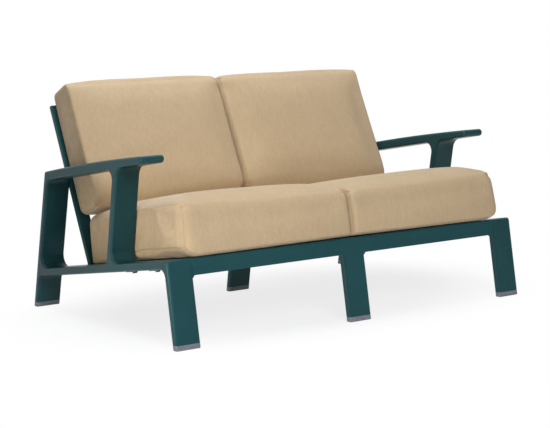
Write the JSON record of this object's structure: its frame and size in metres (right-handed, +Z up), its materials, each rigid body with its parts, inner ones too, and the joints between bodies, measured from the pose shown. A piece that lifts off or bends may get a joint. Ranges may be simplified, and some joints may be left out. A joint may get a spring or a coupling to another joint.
{
  "type": "patio loveseat",
  "caption": "Outdoor sofa for two with a welded flat-band metal frame, sloping arms, a slatted deck and back, and loose boxed cushions",
  "frame": {"origin": "centre of the footprint, on the floor", "axes": "+X to the right of a person who faces the sofa, -Y to the front, +Z up"},
  "size_m": [1.42, 0.9176, 0.759],
  "materials": {
    "frame_paint": "satin",
    "glide_plastic": "matte",
    "fastener_steel": "satin",
    "cushion_cloth": "matte"
  },
  "bodies": {
    "frame": {"front_rail": "frame_paint", "front_ledge": "frame_paint", "middle_front_leg": "frame_paint", "rear_seat_rail": "frame_paint", "middle_rear_leg": "frame_paint", "side_frame_left": "frame_paint", "side_frame_right": "frame_paint", "back_upright_left": "frame_paint", "back_upright_middle": "frame_paint", "back_upright_right": "frame_paint", "back_top_rail_left": "frame_paint", "back_top_rail_right": "frame_paint", "back_slat_left_1": "frame_paint", "back_slat_left_2": "frame_paint", "back_slat_left_3": "frame_paint", "back_slat_left_4": "frame_paint", "back_slat_right_1": "frame_paint", "back_slat_right_2": "frame_paint", "back_slat_right_3": "frame_paint", "back_slat_right_4": "frame_paint", "deck_cross_bar_front": "frame_paint", "deck_cross_bar_rear": "frame_paint", "deck_tabs": "frame_paint", "seat_slat_01": "frame_paint", "seat_slat_02": "frame_paint", "seat_slat_03": "frame_paint", "seat_slat_04": "frame_paint", "seat_slat_05": "frame_paint", "seat_slat_06": "frame_paint", "seat_slat_07": "frame_paint", "seat_slat_08": "frame_paint", "seat_slat_09": "frame_paint", "seat_slat_10": "frame_paint", "foot_glide_front_left": "glide_plastic", "foot_glide_front_middle": "glide_plastic", "foot_glide_front_right": "glide_plastic", "foot_glide_rear_left": "glide_plastic", "foot_glide_rear_middle": "glide_plastic", "foot_glide_rear_right": "glide_plastic", "deck_bolts": "fastener_steel", "deck_washers": "fastener_steel", "upright_bolts": "fastener_steel"},
    "seat_cushion_left": {"seat_cushion_left": "cushion_cloth"},
    "seat_cushion_right": {"seat_cushion_right": "cushion_cloth"},
    "back_cushion_left": {"back_cushion_left": "cushion_cloth"},
    "back_cushion_right": {"back_cushion_right": "cushion_cloth"}
  },
  "joints": [
    {"name": "seat_cushion_left_slide", "type": "slide", "parent": "frame", "child": "seat_cushion_left", "axis": [0, -0.9869, 0.1616], "range_m": [0, 0.7]},
    {"name": "seat_cushion_right_slide", "type": "slide", "parent": "frame", "child": "seat_cushion_right", "axis": [0, -0.9869, 0.1616], "range_m": [0, 0.7]},
    {"name": "back_cushion_left_lift", "type": "slide", "parent": "frame", "child": "back_cushion_left", "axis": [0, 0.4163, 0.9092], "range_m": [0, 0.45]},
    {"name": "back_cushion_right_lift", "type": "slide", "parent": "frame", "child": "back_cushion_right", "axis": [0, 0.4163, 0.9092], "range_m": [0, 0.45]}
  ]
}
